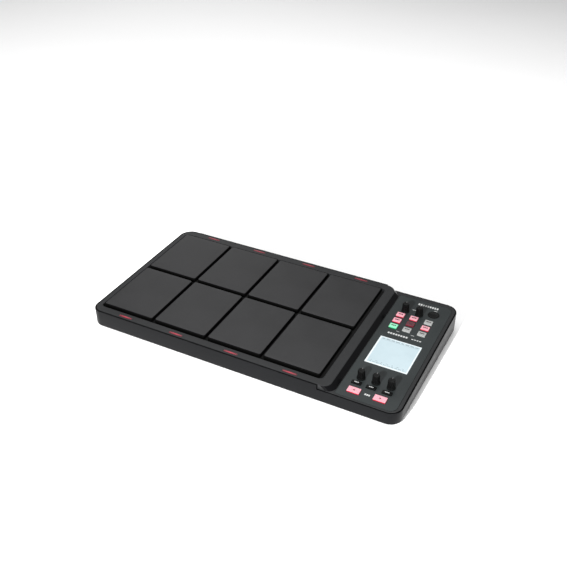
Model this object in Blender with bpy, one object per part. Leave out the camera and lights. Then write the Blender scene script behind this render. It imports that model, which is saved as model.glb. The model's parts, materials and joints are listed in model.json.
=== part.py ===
"""Eight-pad electronic drum pad, built as separate pieces in one shared frame.

Most pieces are laid out in a tilted deck frame: X to the right, Y to the back and Z square to
the playing surface, with Z = 0 at the bottom edge of the front wall. The empty deck_frame
carries that frame, so the underside comes out level on its feet.
"""
import math

import bmesh
import bpy
from mathutils import Matrix, Vector
from mathutils.geometry import tessellate_polygon

MM = 0.001

# Case
WIDTH = 530.0
DEPTH = 285.0
TILT = math.radians(3.0)
FOOT_HEIGHT = 3.0
Y_SHIFT = 0.134
CORNERS = (18.0, 20.0, 20.0, 22.0)
WALL = 2.6
FLOOR = 2.5
GAP = 0.3
BOTTOM_EDGE = 3.0
LIP = 0.9
LIP_DROP = 0.7
COVER_INSET = 1.7
STEP_RUN = 0.3

# Heights above the front wall's bottom edge
RIM_TOP = 30.2
LID_UNDER = 28.9
DECK_TOP = 22.5
DECK_SEAM = 20.7
DECK_UNDER = 18.7
PLATE_TOP = 21.5
PLATE_UNDER = 20.0
PAD_TOP = 33.0
PAD_UNDER = 26.0
FOAM_TOP = 24.9

# Raised pad frame
FRAME_RIGHT_FOOT = 165.2
FRAME_RIGHT_TOP = 157.3
STEP_X = 152.5
CASE_STEP_X = 140.0
WELL = (-255.5, 142.0, -127.5, 126.5)
WELL_WALL = 2.0
WELL_WALL_UNDER = 22.3
PLATE_POCKET = (147.0, 157.0, -130.0, 128.0)
PLATE_POCKET_TOP = 28.2

# Pads: four columns in two rows
PAD_SIZE = (93.0, 121.0)
PAD_PITCH = (98.0, 126.0)
PAD_FIRST = (-205.0, -62.5)
PAD_CORNER = 3.0
SENSOR_R = 13.5
SENSOR_TOP = 22.9
SHEET_TOP = 22.2

# Light bars
LIGHT_X = (-200.0, -104.5, -6.0, 93.5)
LIGHT_Y = {"light_guide_front": -135.2, "light_guide_back": 134.3}
LIGHT_SIZE = (23.4, 3.0)

# Control panel
PANEL = (165.6, 258.0, -137.5, 133.5)
PANEL_R = 12.0
PANEL_THICK = 0.8
GRID_X = (186.0, 208.5, 233.0)
GRID_Y = (79.3, 62.9, 46.4)
GRID_CAP = (13.0, 10.6)
BLACK_CAPS = ((185.9, -104.0), (208.8, -104.6), (233.2, -104.8))
BLACK_CAP = (15.0, 6.0)
WIDE_CAPS = ((189.0, -120.6), (229.0, -120.6))
WIDE_CAP = (19.0, 11.5)
CAP_CLEAR = 0.4
CAP_RISE = 1.8
FLANGE = 1.0
FLANGE_UNDER = 19.4
FLANGE_TOP = 20.2
POWER_AT = (233.4, 103.5)
POWER_R = 8.2
DISPLAY = (176.5, 244.4, -53.5, 16.3)
KNOBS = {
    "volume_knob": (189.0, 93.0),
    "phones_knob": (212.5, 92.5),
    "control_knob_1": (188.0, -91.5),
    "control_knob_2": (211.0, -91.5),
    "control_knob_3": (234.5, -91.5),
}
KNOB_R = 6.6
KNOB_BASE = 23.1
KNOB_HEIGHT = 15.4
SPINDLE_R = 3.0
SPINDLE_END = 16.6
KNOB_HOLE_R = 4.7
COLLAR_R = 4.2
COLLAR_TOP = 22.0
POT_HALF = 6.0
POT_TOP = 18.3

# Boards and the posts that carry them
BOARD_TOP = 15.0
BOARD_THICK = 1.6
MAIN_BOARD_UNDER = 7.0
JACK_BOARD_UNDER = -1.6
PANEL_BOARD = (171.0, 254.0, -131.0, 116.0)
MAIN_BOARD = (-40.0, 130.0, -80.0, 40.0)
JACK_BOARD = (-168.0, 44.0, 112.0, 138.0)
KEY_MAT = (173.0, 251.0, -129.0, 113.0)
PLATE_POSTS = ((-252.0, 0.0), (-156.0, -100.0), (-156.0, 100.0), (40.0, -100.0), (40.0, 100.0),
               (146.0, 0.0))
MAIN_BOARD_POSTS = ((-28.0, -70.0), (116.0, -70.0), (-28.0, 30.0), (116.0, 30.0))
PANEL_BOARD_POSTS = ((177.0, -70.0), (247.0, -70.0), (177.0, 30.0), (247.0, 30.0))

# Rear sockets, along the back wall
JACK_X = (-150.0, -126.0, -102.0, -78.0)
JACK_Z = 8.0
JACK_BORE_R = 3.3
JACK_COLLAR_R = 4.8
MIDI_FACE_R = 7.8
MIDI_PIN_RING_R = 3.6
USB_HALF = (6.3, 5.8)
INLET_R = 5.8
SOCKET_GAP = 0.4
MIDI_X = (-40.0, -14.0)
USB_X = 20.0
INLET_X = 222.0
INLET_Z = 2.0
BACK = DEPTH / 2

# Underside
FEET = ((-232.0, -118.0), (232.0, -118.0), (-232.0, 118.0), (232.0, 118.0))
FOOT_R = 10.0
SCREWS = ((-245.0, -60.0), (-245.0, 60.0), (245.0, -60.0), (245.0, 60.0))
SCREW_HEAD_R = 3.2
STAND_HOLES = ((-60.0, -50.0), (60.0, -50.0), (-60.0, 50.0), (60.0, 50.0))
STAND_HOLE_R = 2.5
STAND_HOLE_DEPTH = 7.0

COLOURS = {
    "case_plastic": ((0.045, 0.047, 0.048), 0.45, 0.0),
    "cover_plastic": ((0.060, 0.062, 0.063), 0.42, 0.0),
    "panel_plastic": ((0.050, 0.056, 0.056), 0.40, 0.0),
    "pad_rubber": ((0.045, 0.045, 0.046), 0.55, 0.0),
    "foam_rubber": ((0.012, 0.012, 0.012), 0.90, 0.0),
    "plate_steel": ((0.55, 0.56, 0.57), 0.40, 1.0),
    "sensor_film": ((0.60, 0.42, 0.16), 0.35, 0.0),
    "light_red": ((0.75, 0.03, 0.08), 0.30, 0.0),
    "display_glass": ((0.72, 0.86, 0.90), 0.10, 0.0),
    "module_metal": ((0.60, 0.61, 0.62), 0.40, 1.0),
    "knob_black": ((0.010, 0.011, 0.011), 0.50, 0.0),
    "cap_pink": ((0.85, 0.42, 0.50), 0.35, 0.0),
    "cap_red": ((0.20, 0.03, 0.06), 0.35, 0.0),
    "cap_green": ((0.38, 0.85, 0.55), 0.35, 0.0),
    "cap_grey": ((0.55, 0.57, 0.55), 0.40, 0.0),
    "cap_black": ((0.012, 0.013, 0.013), 0.35, 0.0),
    "board_green": ((0.02, 0.16, 0.07), 0.50, 0.0),
    "socket_black": ((0.015, 0.015, 0.016), 0.45, 0.0),
    "foot_rubber": ((0.02, 0.02, 0.02), 0.85, 0.0),
    "key_silicone": ((0.30, 0.31, 0.32), 0.60, 0.0),
    "screw_steel": ((0.09, 0.09, 0.10), 0.38, 1.0),
}


def clear_scene():
    for obj in list(bpy.data.objects):
        bpy.data.objects.remove(obj)


def material(name):
    found = bpy.data.materials.get(name)
    if found:
        return found
    colour, roughness, metallic = COLOURS[name]
    made = bpy.data.materials.new(name)
    made.use_nodes = True
    shader = made.node_tree.nodes["Principled BSDF"]
    shader.inputs["Base Color"].default_value = (*colour, 1.0)
    shader.inputs["Roughness"].default_value = roughness
    shader.inputs["Metallic"].default_value = metallic
    return made


# ---------------------------------------------------------------- outlines, in millimetres

def box_outline(x0, x1, y0, y1, radii=0.0, segments=3):
    """Counter-clockwise rectangle; radii is one value or four, from the front-left corner on."""
    if not isinstance(radii, tuple):
        radii = (radii,) * 4
    corners = ((x0, y0, 1, 1, 180), (x1, y0, -1, 1, 270), (x1, y1, -1, -1, 0), (x0, y1, 1, -1, 90))
    points = []
    for (x, y, sx, sy, start), r in zip(corners, radii):
        if r <= 0:
            points.append((x, y))
            continue
        for i in range(segments + 1):
            angle = math.radians(start + 90.0 * i / segments)
            points.append((x + sx * r + r * math.cos(angle), y + sy * r + r * math.sin(angle)))
    return points


def rect_at(centre, size, radius, grow=0.0, segments=2):
    x, y = centre
    half_x, half_y = size[0] / 2 + grow, size[1] / 2 + grow
    return box_outline(x - half_x, x + half_x, y - half_y, y + half_y, radius + max(grow, 0), segments)


def circle(centre, r, count=16):
    return [(centre[0] + r * math.cos(2 * math.pi * i / count),
             centre[1] + r * math.sin(2 * math.pi * i / count)) for i in range(count)]


def level(outline, z):
    return [(x, y, z) for x, y in outline]


# ---------------------------------------------------------------- solids

class Solid:
    """Collects closed bodies in millimetres and turns them into one object."""

    def __init__(self):
        self.bm = bmesh.new()

    def rings(self, rings):
        """A closed body skinned over rings of equal length, with flat ends."""
        rows = [[self.bm.verts.new(point) for point in ring] for ring in rings]
        for low, high in zip(rows, rows[1:]):
            for i in range(len(low)):
                j = (i + 1) % len(low)
                self.bm.faces.new((low[i], low[j], high[j], high[i]))
        self.bm.faces.new(list(reversed(rows[0])))
        self.bm.faces.new(rows[-1])
        return self

    def prism(self, outline, z0, z1):
        return self.rings([level(outline, z0), level(outline, z1)])

    def box(self, x0, x1, y0, y1, z0, z1):
        return self.prism(box_outline(x0, x1, y0, y1), z0, z1)

    def plate(self, outline, holes, z0, z1):
        """A flat plate with holes that go straight through."""
        loops = [outline] + [list(reversed(hole)) for hole in holes]
        triangles = tessellate_polygon([[Vector((x, y, 0)) for x, y in loop] for loop in loops])
        low, high = [], []
        for loop in loops:
            lower = [self.bm.verts.new((x, y, z0)) for x, y in loop]
            upper = [self.bm.verts.new((x, y, z1)) for x, y in loop]
            for i in range(len(loop)):
                j = (i + 1) % len(loop)
                self.bm.faces.new((lower[i], lower[j], upper[j], upper[i]))
            low += lower
            high += upper
        for a, b, c in triangles:
            self.bm.faces.new((high[a], high[b], high[c]))
            self.bm.faces.new((low[c], low[b], low[a]))
        return self

    def along_y(self, centre_x, centre_z, sections, outline):
        """A body skinned along Y; sections are (y, scale) and outline is in X and Z."""
        rings = []
        for y, scale in sections:
            rings.append([(centre_x + x * scale, y, centre_z + z * scale) for x, z in outline])
        return self.rings(rings)

    def make(self, name, slot, parent=None, origin=(0.0, 0.0, 0.0), sharp=40.0):
        bmesh.ops.recalc_face_normals(self.bm, faces=self.bm.faces)
        shift = Matrix.Translation(-Vector(origin))
        self.bm.transform(Matrix.Scale(MM, 4) @ shift)
        mesh = bpy.data.meshes.new(name)
        self.bm.to_mesh(mesh)
        self.bm.free()
        obj = bpy.data.objects.new(name, mesh)
        bpy.context.scene.collection.objects.link(obj)
        obj.location = Vector(origin) * MM
        obj.parent = parent
        if slot:
            mesh.materials.append(material(slot))
            mesh.shade_smooth()
            mesh.set_sharp_from_angle(angle=math.radians(sharp))
        return obj


def boolean(obj, cutter, operation="DIFFERENCE", solver="EXACT"):
    cutter.hide_render = True
    cutter.display_type = "WIRE"
    modifier = obj.modifiers.new(cutter.name, "BOOLEAN")
    modifier.operation = operation
    modifier.solver = solver
    modifier.object = cutter


def bottom(y):
    """Height of the level underside in the tilted deck frame."""
    return -math.tan(TILT) * (y + DEPTH / 2)


# ---------------------------------------------------------------- case

def plan(inset):
    """The whole instrument's outline from above, drawn in by the inset."""
    half_w, half_d = WIDTH / 2 - inset, DEPTH / 2 - inset
    return box_outline(-half_w, half_w, -half_d, half_d, tuple(r - inset for r in CORNERS), 6)


def case_outline(inset):
    """The same outline, with a pair of points on each long side where the wall steps down."""
    full, half_d = plan(inset), DEPTH / 2 - inset
    front = [(CASE_STEP_X - STEP_RUN, -half_d), (CASE_STEP_X, -half_d)]
    back = [(CASE_STEP_X, half_d), (CASE_STEP_X - STEP_RUN, half_d)]
    return full[:7] + front + full[7:21] + back + full[21:]


def on_pads(x):
    return x < CASE_STEP_X - STEP_RUN / 2


def rim_height(x):
    return (LID_UNDER if on_pads(x) else DECK_SEAM) - GAP


def lip_height(x):
    """Top of the thin lip that stands round the cover, just below the cover's own top."""
    return (RIM_TOP if on_pads(x) else DECK_TOP) - LIP_DROP


def lower_case(deck):
    outer, inner = case_outline(0.0), case_outline(WALL)
    lip_edge, lip_inner = case_outline(LIP / 2), case_outline(LIP)
    edge, base = case_outline(BOTTOM_EDGE * 0.3), case_outline(BOTTOM_EDGE)
    case = Solid().rings([
        [(x, y, bottom(y)) for x, y in base],
        [(x, y, bottom(y) + BOTTOM_EDGE * 0.3) for x, y in edge],
        [(x, y, bottom(y) + BOTTOM_EDGE) for x, y in outer],
        [(x, y, lip_height(x) - 0.6) for x, y in outer],
        [(x, y, lip_height(x)) for x, y in lip_edge],
        [(x, y, lip_height(x)) for x, y in lip_inner],
        [(x, y, rim_height(x)) for x, y in lip_inner],
        [(x, y, rim_height(x)) for x, y in inner],
        [(x, y, bottom(y) + FLOOR) for x, y in inner],
    ]).make("lower_case", "case_plastic", deck)

    posts = Solid()
    for places, r, top in ((PLATE_POSTS, 4.0, PLATE_UNDER), (MAIN_BOARD_POSTS, 3.5, MAIN_BOARD_UNDER),
                           (PANEL_BOARD_POSTS, 3.5, BOARD_TOP - BOARD_THICK)):
        for x, y in places:
            posts.prism(circle((x, y), r, 10), bottom(y) + 1.0, top - GAP)
    for x, y in SCREWS + STAND_HOLES:
        posts.prism(circle((x, y), 7.0, 10), bottom(y) + 1.0, bottom(y) + STAND_HOLE_DEPTH + 2.0)
    boolean(case, posts.make("case_posts", None, deck), "UNION", "MANIFOLD")

    cut = Solid()
    wall = ((BACK - 8.0, 1.0), (BACK + 4.0, 1.0))
    for x in JACK_X:
        cut.along_y(x, JACK_Z, wall, circle((0, 0), JACK_COLLAR_R + SOCKET_GAP, 16))
    for x in MIDI_X:
        cut.along_y(x, JACK_Z, wall, circle((0, 0), MIDI_FACE_R + SOCKET_GAP, 20))
    half_x, half_z = USB_HALF[0] + 0.5, USB_HALF[1] + 0.5
    cut.along_y(USB_X, JACK_Z, wall, box_outline(-half_x, half_x, -half_z, half_z))
    cut.along_y(INLET_X, INLET_Z, wall, circle((0, 0), INLET_R + SOCKET_GAP, 16))
    for x, y in SCREWS:
        cut.prism(circle((x, y), SCREW_HEAD_R + GAP, 12), bottom(y) - 3.0, bottom(y) + 2.2)
    for x, y in STAND_HOLES:
        cut.prism(circle((x, y), STAND_HOLE_R, 12), bottom(y) - 3.0, bottom(y) + STAND_HOLE_DEPTH)
    boolean(case, cut.make("case_cuts", None, deck), "DIFFERENCE", "MANIFOLD")


def frame_plan(inset, right):
    """Outline of the raised frame round the pads; its right edge is the flank of the step."""
    i = COVER_INSET + 0.2 + inset
    radii = (CORNERS[0] - i, 13.0 - inset, 18.0 - inset, CORNERS[3] - i)
    return box_outline(-WIDTH / 2 + i, right - inset, -DEPTH / 2 + i, DEPTH / 2 - i, radii, 6)


def top_cover(deck):
    plug = plan(WALL + GAP + 0.1)
    cover = Solid().rings([
        level(plug, DECK_UNDER), level(plug, DECK_SEAM), level(plan(COVER_INSET), DECK_SEAM),
        level(plan(COVER_INSET), DECK_TOP - 0.5), level(plan(COVER_INSET + 0.5), DECK_TOP),
    ]).make("top_cover", "cover_plastic", deck)

    raised = Solid()
    raised.rings([level(frame_plan(0.0, FRAME_RIGHT_FOOT), DECK_SEAM + 0.4),
                  level(frame_plan(0.0, FRAME_RIGHT_FOOT - 1.5), DECK_TOP + 0.2),
                  level(frame_plan(0.0, FRAME_RIGHT_TOP + 0.8), RIM_TOP - 1.0),
                  level(frame_plan(0.3, FRAME_RIGHT_TOP + 0.4), RIM_TOP - 0.3),
                  level(frame_plan(1.0, FRAME_RIGHT_TOP + 0.4), RIM_TOP)])
    boolean(cover, raised.make("frame_raised", None, deck), "UNION")

    shoulder, inner_y = CASE_STEP_X + GAP + 0.1, DEPTH / 2 - WALL - 2.0
    under = [(-WIDTH, -DEPTH), (shoulder, -DEPTH), (shoulder, -inner_y), (STEP_X, -inner_y),
             (STEP_X, inner_y), (shoulder, inner_y), (shoulder, DEPTH), (-WIDTH, DEPTH)]
    hollow = Solid().prism(under, 0.0, LID_UNDER)
    boolean(cover, hollow.make("frame_hollow", None, deck))

    x0, x1, y0, y1 = WELL
    walls = Solid()
    walls.prism(box_outline(x0 - WELL_WALL, x1 + WELL_WALL, y0 - WELL_WALL, y1 + WELL_WALL, 6.0, 3),
                WELL_WALL_UNDER, LID_UNDER + 0.6)
    boolean(cover, walls.make("well_walls", None, deck), "UNION")

    cut = Solid()
    cut.prism(box_outline(x0, x1, y0, y1, 4.0, 3), 10.0, 40.0)
    cut.box(*PLATE_POCKET, 10.0, PLATE_POCKET_TOP)
    for y in LIGHT_Y.values():
        for x in LIGHT_X:
            cut.prism(rect_at((x, y), LIGHT_SIZE, 0.6, GAP), 26.0, 40.0)
    cut.prism(panel_outline(0.0), DECK_TOP - PANEL_THICK - GAP, 26.0)
    boolean(cover, cut.make("cover_cuts", None, deck))

    through = Solid()
    dx0, dx1, dy0, dy1 = DISPLAY
    through.box(dx0 - 3.0, dx1 + 3.0, dy0 - 3.0, dy1 + 3.0, 10.0, 30.0)
    through.box(GRID_X[0] - 9.0, GRID_X[2] + 9.0, GRID_Y[2] - 8.0, GRID_Y[0] + 7.2, 10.0, 30.0)
    through.box(176.0, 243.5, -129.0, -99.0, 10.0, 30.0)
    through.prism(circle(POWER_AT, POWER_R + 1.6, 24), 10.0, 30.0)
    for at in KNOBS.values():
        through.prism(circle(at, KNOB_HOLE_R, 14), 10.0, 30.0)
    boolean(cover, through.make("panel_through_cuts", None, deck))


def panel_outline(inset):
    x0, x1, y0, y1 = PANEL
    radii = tuple(r - inset for r in (2.0, PANEL_R, PANEL_R, 4.0))
    return box_outline(x0 + inset, x1 - inset, y0 + inset, y1 - inset, radii, 4)


def control_panel(deck):
    holes = [box_outline(*DISPLAY)]
    holes += [rect_at((x, y), GRID_CAP, 0.8, CAP_CLEAR) for y in GRID_Y for x in GRID_X]
    holes += [rect_at(at, BLACK_CAP, 0.8, CAP_CLEAR) for at in BLACK_CAPS]
    holes += [rect_at(at, WIDE_CAP, 0.8, CAP_CLEAR) for at in WIDE_CAPS]
    holes += [circle(POWER_AT, POWER_R + CAP_CLEAR, 24)]
    holes += [circle(at, KNOB_HOLE_R, 14) for at in KNOBS.values()]
    panel = Solid().plate(panel_outline(0.5), holes, DECK_TOP - PANEL_THICK, DECK_TOP)
    panel.make("control_panel", "panel_plastic", deck)


# ---------------------------------------------------------------- pads and what is under them

def pads(deck):
    number = 0
    for row in range(2):
        for column in range(4):
            number += 1
            centre = (PAD_FIRST[0] + column * PAD_PITCH[0], PAD_FIRST[1] + row * PAD_PITCH[1])
            stages = ((0.0, PAD_UNDER), (0.0, PAD_TOP - 1.8), (-0.4, PAD_TOP - 0.8),
                      (-1.2, PAD_TOP - 0.2), (-2.4, PAD_TOP))
            rings = []
            for grow, z in stages:
                half_x, half_y = PAD_SIZE[0] / 2 + grow, PAD_SIZE[1] / 2 + grow
                rings.append(level(box_outline(centre[0] - half_x, centre[0] + half_x, centre[1] - half_y,
                                               centre[1] + half_y, PAD_CORNER + grow * 0.5, 3), z))
            Solid().rings(rings).make(f"pad_{number}", "pad_rubber", deck, (*centre, PAD_UNDER))


def pad_support(deck):
    x0, x1, y0, y1 = WELL
    Solid().prism(box_outline(x0 - 1.8, x1 + 3.8, y0 - 3.0, y1 + 2.0, 5.0, 3), PLATE_UNDER,
                  PLATE_TOP).make("pad_plate", "plate_steel", deck)
    centres = [(PAD_FIRST[0] + c * PAD_PITCH[0], PAD_FIRST[1] + r * PAD_PITCH[1])
               for r in range(2) for c in range(4)]
    area = box_outline(x0 + 0.5, x1 - 0.5, y0 + 0.5, y1 - 0.5, 3.5, 3)
    foam = Solid().plate(area, [circle(at, SENSOR_R + 1.5, 16) for at in centres], SHEET_TOP + GAP, FOAM_TOP)
    foam.make("pad_foam", "foam_rubber", deck)
    sheet = Solid().plate(area, [], PLATE_TOP + GAP, SHEET_TOP).make("sensor_sheet", "sensor_film", deck)
    discs = Solid()
    for at in centres:
        discs.prism(circle(at, SENSOR_R, 16), PLATE_TOP + GAP + 0.15, SENSOR_TOP)
    boolean(sheet, discs.make("sensor_discs", None, deck), "UNION")


def light_guides(deck):
    """Each guide is one strip under the rim with four windows that come up through it."""
    for name, y in LIGHT_Y.items():
        guide = Solid().box(LIGHT_X[0] - 15.0, LIGHT_X[-1] + 15.0, y - 2.9, y + 2.9, 27.2, LID_UNDER - GAP)
        strip = guide.make(name, "light_red", deck)
        windows = Solid()
        for x in LIGHT_X:
            stem = rect_at((x, y), LIGHT_SIZE, 0.6)
            top = rect_at((x, y), LIGHT_SIZE, 0.6, -0.3)
            windows.rings([level(stem, 27.8), level(stem, RIM_TOP), level(top, RIM_TOP + 0.3)])
        boolean(strip, windows.make(name + "_windows", None, deck), "UNION")


# ---------------------------------------------------------------- controls

def cap(name, slot, deck, centre, size):
    """A key with a flange that keeps it under the panel."""
    top = DECK_TOP + CAP_RISE
    stages = ((FLANGE, FLANGE_UNDER), (FLANGE, FLANGE_TOP), (0.0, FLANGE_TOP), (0.0, top - 0.5), (-0.5, top))
    rings = [level(rect_at(centre, size, 0.8, grow), z) for grow, z in stages]
    Solid().rings(rings).make(name, slot, deck, (*centre, FLANGE_UNDER))


def buttons(deck):
    slots = ("cap_pink", "cap_pink", "cap_grey", "cap_pink", "cap_red", "cap_pink",
             "cap_green", "cap_grey", "cap_grey")
    at = [(x, y) for y in GRID_Y for x in GRID_X]
    for i, (centre, slot) in enumerate(zip(at, slots)):
        cap(f"grid_button_{i + 1}", slot, deck, centre, GRID_CAP)
    for i, centre in enumerate(BLACK_CAPS):
        cap(f"menu_button_{i + 1}", "cap_black", deck, centre, BLACK_CAP)
    for name, centre in zip(("step_button_left", "step_button_right"), WIDE_CAPS):
        cap(name, "cap_pink", deck, centre, WIDE_CAP)
    radii = ((FLANGE, FLANGE_UNDER), (FLANGE, FLANGE_TOP), (0.0, FLANGE_TOP), (0.0, DECK_TOP + 0.1),
             (-0.5, DECK_TOP + 0.6), (-1.8, DECK_TOP + 0.6), (-2.6, DECK_TOP + 0.1))
    rings = [level(circle(POWER_AT, POWER_R + grow, 24), z) for grow, z in radii]
    Solid().rings(rings).make("power_button", "cap_black", deck, (*POWER_AT, FLANGE_UNDER))

    x0, x1, y0, y1 = DISPLAY
    holes = [box_outline(x0 - 1.6, x1 + 1.6, y0 - 2.6, y1 + 2.6)]
    holes += [rect_at(centre, (13.0, 13.0), 0.0) for centre in KNOBS.values()]
    mat = Solid().plate(box_outline(*KEY_MAT, 3.0, 2), holes, BOARD_TOP + GAP, 16.1)
    keys = mat.make("key_mat", "key_silicone", deck)
    domes = Solid()
    for x, y in at + list(BLACK_CAPS) + list(WIDE_CAPS) + [POWER_AT]:
        foot = rect_at((x, y), (6.0, 4.6), 0.0)
        domes.rings([level(foot, BOARD_TOP + GAP + 0.3), level(foot, 17.0),
                     level(rect_at((x, y), (4.0, 3.0), 0.0), 18.3)])
    boolean(keys, domes.make("key_domes", None, deck), "UNION")


def ribbed(centre, r, depth=0.0, points=24):
    """A ring whose every second point is drawn in by the depth."""
    ring = []
    for i in range(points):
        angle = 2 * math.pi * i / points
        radius = r - (depth if i % 2 == 0 else 0.0)
        ring.append((centre[0] + radius * math.cos(angle), centre[1] + radius * math.sin(angle)))
    return ring


def knobs(deck):
    top = KNOB_BASE + KNOB_HEIGHT
    stages = ((SPINDLE_R, 0.0, SPINDLE_END), (SPINDLE_R, 0.0, KNOB_BASE), (KNOB_R, 0.0, KNOB_BASE),
              (KNOB_R, 0.0, KNOB_BASE + 1.6), (KNOB_R - 0.5, 0.5, KNOB_BASE + 2.0),
              (KNOB_R - 0.9, 0.5, top - 1.0), (KNOB_R - 1.6, 0.2, top - 0.2), (KNOB_R - 2.6, 0.0, top))
    for name, at in KNOBS.items():
        rings = [level(ribbed(at, r, depth), z) for r, depth, z in stages]
        Solid().rings(rings).make(name, "knob_black", deck, (*at, KNOB_BASE))

    sources = {"volume_knob": "volume_pot", "phones_knob": "phones_pot", "control_knob_1": "encoder_1",
               "control_knob_2": "encoder_2", "control_knob_3": "encoder_3"}
    for knob, name in sources.items():
        at = KNOBS[knob]
        square = [(at[0] + POT_HALF * max(-1, min(1, 1.5 * math.cos(a))),
                   at[1] + POT_HALF * max(-1, min(1, 1.5 * math.sin(a))))
                  for a in (2 * math.pi * i / 12 for i in range(12))]
        bore, collar = circle(at, SPINDLE_R + 0.25, 12), circle(at, COLLAR_R, 12)
        pot = Solid().rings([level(square, BOARD_TOP + GAP), level(square, POT_TOP), level(collar, POT_TOP),
                             level(collar, COLLAR_TOP), level(bore, COLLAR_TOP),
                             level(bore, SPINDLE_END - 0.5)])
        pot.make(name, "module_metal", deck)


def display(deck):
    x0, x1, y0, y1 = DISPLAY
    Solid().rings([level(box_outline(x0 + GAP, x1 - GAP, y0 + GAP, y1 - GAP), 20.9),
                   level(box_outline(x0 + GAP, x1 - GAP, y0 + GAP, y1 - GAP), DECK_TOP - 0.4),
                   ]).make("display_window", "display_glass", deck)
    Solid().rings([level(box_outline(x0 - 1.0, x1 + 1.0, y0 - 2.0, y1 + 2.0), BOARD_TOP + 0.6),
                   level(box_outline(x0 - 1.0, x1 + 1.0, y0 - 2.0, y1 + 2.0), 19.8),
                   level(box_outline(x0 + 1.0, x1 - 1.0, y0 + 0.5, y1 - 0.5), 20.6),
                   ]).make("display_module", "module_metal", deck)


def boards(deck):
    for name, area, under in (("panel_board", PANEL_BOARD, BOARD_TOP - BOARD_THICK),
                              ("main_board", MAIN_BOARD, MAIN_BOARD_UNDER),
                              ("jack_board", JACK_BOARD, JACK_BOARD_UNDER)):
        board = Solid().prism(box_outline(*area, 2.0, 2), under, under + BOARD_THICK)
        board.make(name, "board_green", deck)


# ---------------------------------------------------------------- rear sockets

def sockets(deck):
    inner = BACK - WALL - 0.4
    block = Solid().box(JACK_X[0] - 9.0, JACK_X[-1] + 9.0, 116.0, inner, 0.3, 15.7)
    jacks = block.make("phone_jacks", "socket_black", deck)
    collars, bores = Solid(), Solid()
    for x in JACK_X:
        collars.along_y(x, JACK_Z, ((inner - 2.0, 1.0), (BACK + 1.4, 1.0)), circle((0, 0), JACK_COLLAR_R))
        bores.along_y(x, JACK_Z, ((118.5, 1.0), (BACK + 3.0, 1.0)), circle((0, 0), JACK_BORE_R))
    boolean(jacks, collars.make("jack_collars", None, deck), "UNION")
    boolean(jacks, bores.make("jack_bores", None, deck))

    block = Solid().box(MIDI_X[0] - 10.5, MIDI_X[1] + 10.5, 124.0, inner, 0.3, 17.0)
    midi = block.make("midi_sockets", "socket_black", deck)
    faces, pins = Solid(), Solid()
    for x in MIDI_X:
        faces.along_y(x, JACK_Z, ((inner - 2.0, 1.0), (BACK - 0.4, 1.0)), circle((0, 0), MIDI_FACE_R, 20))
        for k in range(5):
            angle = math.radians(180.0 + 45.0 * k)
            pins.along_y(x + MIDI_PIN_RING_R * math.cos(angle), JACK_Z + MIDI_PIN_RING_R * math.sin(angle),
                         ((BACK - 6.0, 1.0), (BACK + 3.0, 1.0)), circle((0, 0), 0.8, 6))
    boolean(midi, faces.make("midi_faces", None, deck), "UNION")
    boolean(midi, pins.make("midi_pin_holes", None, deck))

    def rect_ring(half_w, half_h, y):
        return [(USB_X + u, y, JACK_Z + v) for u, v in box_outline(-half_w, half_w, -half_h, half_h)]

    half_w, half_h = USB_HALF
    Solid().rings([rect_ring(half_w, half_h, 126.0), rect_ring(half_w, half_h, BACK),
                   rect_ring(half_w - 1.0, half_h - 1.0, BACK),
                   rect_ring(half_w - 1.0, half_h - 1.0, 130.0), rect_ring(2.8, 1.4, 130.0),
                   rect_ring(2.8, 1.4, BACK - 5.5)]).make("usb_port", "module_metal", deck)

    def round_ring(r, y):
        return [(INLET_X + u, y, INLET_Z + v) for u, v in circle((0, 0), r)]

    Solid().rings([round_ring(8.0, 126.0), round_ring(8.0, inner), round_ring(INLET_R, inner),
                   round_ring(INLET_R, BACK), round_ring(4.2, BACK), round_ring(4.2, BACK - 10.0),
                   round_ring(1.0, BACK - 10.0),
                   round_ring(1.0, BACK - 5.5)]).make("dc_inlet", "socket_black", deck)


# ---------------------------------------------------------------- underside, in the level frame

def feet():
    for i, (x, y) in enumerate(FEET):
        stages = ((FOOT_R - 1.2, 0.0), (FOOT_R - 0.3, 0.6), (FOOT_R, FOOT_HEIGHT - GAP))
        rings = [level(circle((x, y + Y_SHIFT), r, 20), z) for r, z in stages]
        Solid().rings(rings).make(f"rubber_foot_{i + 1}", "foot_rubber", None, (x, y + Y_SHIFT, 0.0))


def case_screws(deck):
    for i, (x, y) in enumerate(SCREWS):
        z = bottom(y)
        cross = []
        for k in range(16):
            r = (1.9, 0.9, 0.7, 0.9)[k % 4]
            cross.append((x + r * math.cos(math.pi * k / 8), y + r * math.sin(math.pi * k / 8)))
        rings = [level(cross, z + 1.4), level(cross, z + 0.4), level(circle((x, y), 2.6), z + 0.4),
                 level(circle((x, y), SCREW_HEAD_R), z + 0.9), level(circle((x, y), SCREW_HEAD_R), z + 1.9)]
        Solid().rings(rings).make(f"case_screw_{i + 1}", "screw_steel", deck, (x, y, z))


def main():
    clear_scene()
    deck = bpy.data.objects.new("deck_frame", None)
    bpy.context.scene.collection.objects.link(deck)
    deck.location = Vector((0.0, Y_SHIFT, FOOT_HEIGHT + DEPTH / 2 * math.sin(TILT))) * MM
    deck.rotation_euler = (TILT, 0.0, 0.0)
    for build in (lower_case, top_cover, control_panel, pads, pad_support, light_guides, buttons,
                  knobs, display, boards, sockets, case_screws):
        build(deck)
    feet()


main()
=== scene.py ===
import json
import math

import bmesh
import bpy
from mathutils import Matrix, Vector
from mathutils.geometry import tessellate_polygon


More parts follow.
